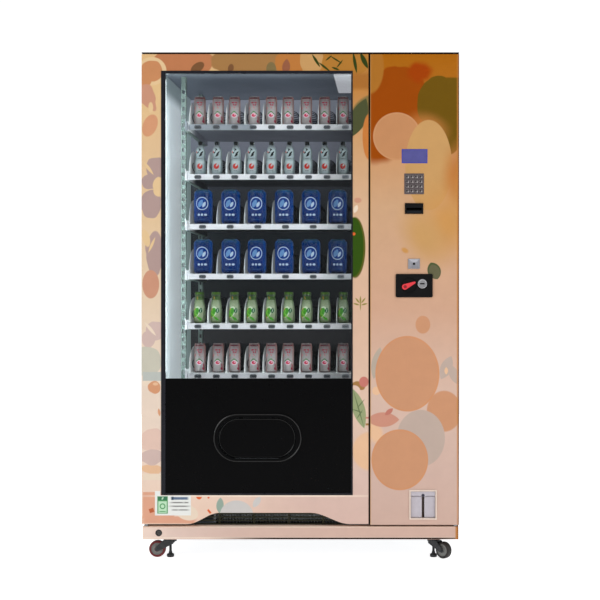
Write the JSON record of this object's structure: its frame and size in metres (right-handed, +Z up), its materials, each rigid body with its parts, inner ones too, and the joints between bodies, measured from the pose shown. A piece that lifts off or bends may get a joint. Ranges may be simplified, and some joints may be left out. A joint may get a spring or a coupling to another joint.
{
  "type": "snack vending machine",
  "caption": "Glass-front vending machine with sliding spiral-coil trays, delivery flap, control door with keypad and lock, cooling unit, casters and levelling feet.",
  "frame": {"origin": "middle of the footprint, on the floor under the levelling feet", "axes": "+X to the right seen from the front, +Y to the back, +Z up"},
  "size_m": [1.21, 0.85, 1.94],
  "materials": {
    "wrap": "satin",
    "steel": "satin",
    "zinc_sheet": "satin",
    "white_liner": "satin",
    "white_steel": "satin",
    "light_bar": "gloss",
    "dark_grille": "satin",
    "fins": "satin",
    "black_metal": "satin",
    "fan_plastic": "matte",
    "black_plastic": "satin",
    "red_tyre": "satin",
    "black_tyre": "matte",
    "black_gloss": "gloss",
    "clear_glass": "gloss",
    "gasket_rubber": "matte",
    "display_blue": "gloss",
    "keypad_metal": "satin",
    "bright_metal": "polished",
    "red_plastic": "gloss",
    "cup_plastic": "satin",
    "coil_wire": "satin"
  },
  "bodies": {
    "cabinet": {"base_pan": "steel", "left_side_panel": "wrap", "right_side_panel": "wrap", "top_panel": "wrap", "rear_panel": "zinc_sheet", "kick_rail": "wrap", "insulated_panels": "white_liner", "partition": "white_liner", "shelf_frame": "white_steel", "led_strips": "light_bar", "condenser_grille": "dark_grille", "condenser": "fins", "compressor": "black_metal", "evaporator": "fins", "delivery_bin": "steel", "control_box": "zinc_sheet", "power_inlet": "black_plastic", "hinge_pins": "steel", "caster_plates": "black_metal"},
    "feet": {"levelling_feet": "black_metal"},
    "condenser_fan": {"condenser_fan": "fan_plastic"},
    "evaporator_fan": {"evaporator_fan": "fan_plastic"},
    "glass_door": {"door_frame": "wrap", "window_trim": "black_gloss", "door_glass": "clear_glass", "delivery_panel": "black_plastic", "door_gasket": "gasket_rubber"},
    "delivery_flap": {"delivery_flap": "black_plastic"},
    "control_door": {"control_door": "wrap", "display": "display_blue", "keypad_plate": "keypad_metal", "bill_acceptor": "black_plastic", "coin_plate": "bright_metal", "lock_plate": "black_gloss", "coin_cup": "cup_plastic"},
    "keys": {"keypad_keys": "keypad_metal"},
    "coin_button": {"coin_button": "black_plastic"},
    "lock_lever": {"lock_lever": "red_plastic"},
    "lock_cylinder": {"lock_cylinder": "bright_metal"},
    "coin_flaps": {"coin_flaps": "bright_metal"},
    "caster_1": {"caster_fork_1": "black_metal"},
    "wheel_1": {"caster_wheel_1": "red_tyre"},
    "caster_2": {"caster_fork_2": "black_metal"},
    "wheel_2": {"caster_wheel_2": "black_tyre"},
    "caster_3": {"caster_fork_3": "black_metal"},
    "wheel_3": {"caster_wheel_3": "black_tyre"},
    "caster_4": {"caster_fork_4": "black_metal"},
    "wheel_4": {"caster_wheel_4": "black_tyre"},
    "tray_1": {"tray_1": "white_steel"},
    "coil_1": {"coil_1": "coil_wire"},
    "tray_2": {"tray_2": "white_steel"},
    "coil_2": {"coil_2": "coil_wire"},
    "tray_3": {"tray_3": "white_steel"},
    "coil_3": {"coil_3": "coil_wire"},
    "tray_4": {"tray_4": "white_steel"},
    "coil_4": {"coil_4": "coil_wire"},
    "tray_5": {"tray_5": "white_steel"},
    "coil_5": {"coil_5": "coil_wire"},
    "tray_6": {"tray_6": "white_steel"},
    "coil_6": {"coil_6": "coil_wire"}
  },
  "joints": [
    {"name": "glass_door_hinge", "type": "hinge", "parent": "cabinet", "child": "glass_door", "pos_m": [-0.59, -0.397, 0], "axis": [0, 0, -1], "range_deg": [0, 110]},
    {"name": "control_door_hinge", "type": "hinge", "parent": "cabinet", "child": "control_door", "pos_m": [0.59, -0.397, 0], "axis": [0, 0, 1], "range_deg": [0, 110]},
    {"name": "delivery_flap_hinge", "type": "hinge", "parent": "glass_door", "child": "delivery_flap", "pos_m": [-0.165, -0.401, 0.5505], "axis": [1, 0, 0], "range_deg": [0, 75], "stiffness_Nm_per_rad": 0.5, "springref_deg": -20.05},
    {"name": "keypad_press", "type": "slide", "parent": "control_door", "child": "keys", "axis": [0, 1, 0], "range_m": [0, 0.002], "stiffness_N_per_m": 400, "springref_m": -0.001},
    {"name": "coin_button_press", "type": "slide", "parent": "control_door", "child": "coin_button", "axis": [0, 1, 0], "range_m": [0, 0.003], "stiffness_N_per_m": 300, "springref_m": -0.001},
    {"name": "lever_turn", "type": "hinge", "parent": "control_door", "child": "lock_lever", "pos_m": [0.414, -0.42, 1.053], "axis": [0, 1, 0], "range_deg": [0, 60], "stiffness_Nm_per_rad": 0.2, "springref_deg": -11.46},
    {"name": "key_turn", "type": "hinge", "parent": "control_door", "child": "lock_cylinder", "pos_m": [0.465, -0.42, 1.058], "axis": [0, 1, 0], "range_deg": [0, 90]},
    {"name": "coin_flap_swing", "type": "hinge", "parent": "control_door", "child": "coin_flaps", "pos_m": [0.4677, -0.412, 0.2459], "axis": [1, 0, 0], "range_deg": [0, 40]},
    {"name": "condenser_fan_spin", "type": "hinge", "parent": "cabinet", "child": "condenser_fan", "pos_m": [-0.09, -0.256, 0.19], "axis": [0, 1, 0], "continuous": true},
    {"name": "evaporator_fan_spin", "type": "hinge", "parent": "cabinet", "child": "evaporator_fan", "pos_m": [-0.15, 0.13, 0.47], "axis": [0, 1, 0], "continuous": true},
    {"name": "feet_extend", "type": "slide", "parent": "cabinet", "child": "feet", "axis": [0, 0, -1], "range_m": [0, 0.012]},
    {"name": "caster_1_swivel", "type": "hinge", "parent": "cabinet", "child": "caster_1", "pos_m": [-0.51, -0.33, 0.065], "axis": [0, 0, 1], "continuous": true},
    {"name": "wheel_1_spin", "type": "hinge", "parent": "caster_1", "child": "wheel_1", "pos_m": [-0.56, -0.33, 0.0325], "axis": [0, -1, 0], "continuous": true},
    {"name": "caster_2_swivel", "type": "hinge", "parent": "cabinet", "child": "caster_2", "pos_m": [0.51, -0.33, 0.065], "axis": [0, 0, 1], "continuous": true},
    {"name": "wheel_2_spin", "type": "hinge", "parent": "caster_2", "child": "wheel_2", "pos_m": [0.5483, -0.36214, 0.0325], "axis": [0.6428, 0.766, 0], "continuous": true},
    {"name": "caster_3_swivel", "type": "hinge", "parent": "cabinet", "child": "caster_3", "pos_m": [-0.51, 0.33, 0.065], "axis": [0, 0, 1], "continuous": true},
    {"name": "wheel_3_spin", "type": "hinge", "parent": "caster_3", "child": "wheel_3", "pos_m": [-0.535, 0.3733, 0.0325], "axis": [-0.866, -0.5, 0], "continuous": true},
    {"name": "caster_4_swivel", "type": "hinge", "parent": "cabinet", "child": "caster_4", "pos_m": [0.51, 0.33, 0.065], "axis": [0, 0, 1], "continuous": true},
    {"name": "wheel_4_spin", "type": "hinge", "parent": "caster_4", "child": "wheel_4", "pos_m": [0.535, 0.3733, 0.0325], "axis": [-0.866, 0.5, 0], "continuous": true},
    {"name": "tray_1_slide", "type": "slide", "parent": "cabinet", "child": "tray_1", "axis": [0, -1, 0], "range_m": [0, 0.09]},
    {"name": "coil_1_turn", "type": "hinge", "parent": "tray_1", "child": "coil_1", "pos_m": [-0.41089, 0, 0.7438], "axis": [0, 1, 0], "continuous": true},
    {"name": "tray_2_slide", "type": "slide", "parent": "cabinet", "child": "tray_2", "axis": [0, -1, 0], "range_m": [0, 0.09]},
    {"name": "coil_2_turn", "type": "hinge", "parent": "tray_2", "child": "coil_2", "pos_m": [-0.41089, 0, 0.9388], "axis": [0, 1, 0], "continuous": true},
    {"name": "tray_3_slide", "type": "slide", "parent": "cabinet", "child": "tray_3", "axis": [0, -1, 0], "range_m": [0, 0.09]},
    {"name": "coil_3_turn", "type": "hinge", "parent": "tray_3", "child": "coil_3", "pos_m": [-0.39283, 0, 1.1448], "axis": [0, 1, 0], "continuous": true},
    {"name": "tray_4_slide", "type": "slide", "parent": "cabinet", "child": "tray_4", "axis": [0, -1, 0], "range_m": [0, 0.09]},
    {"name": "coil_4_turn", "type": "hinge", "parent": "tray_4", "child": "coil_4", "pos_m": [-0.39283, 0, 1.3398], "axis": [0, 1, 0], "continuous": true},
    {"name": "tray_5_slide", "type": "slide", "parent": "cabinet", "child": "tray_5", "axis": [0, -1, 0], "range_m": [0, 0.09]},
    {"name": "coil_5_turn", "type": "hinge", "parent": "tray_5", "child": "coil_5", "pos_m": [-0.41089, 0, 1.5238], "axis": [0, 1, 0], "continuous": true},
    {"name": "tray_6_slide", "type": "slide", "parent": "cabinet", "child": "tray_6", "axis": [0, -1, 0], "range_m": [0, 0.09]},
    {"name": "coil_6_turn", "type": "hinge", "parent": "tray_6", "child": "coil_6", "pos_m": [-0.41089, 0, 1.7188], "axis": [0, 1, 0], "continuous": true}
  ]
}
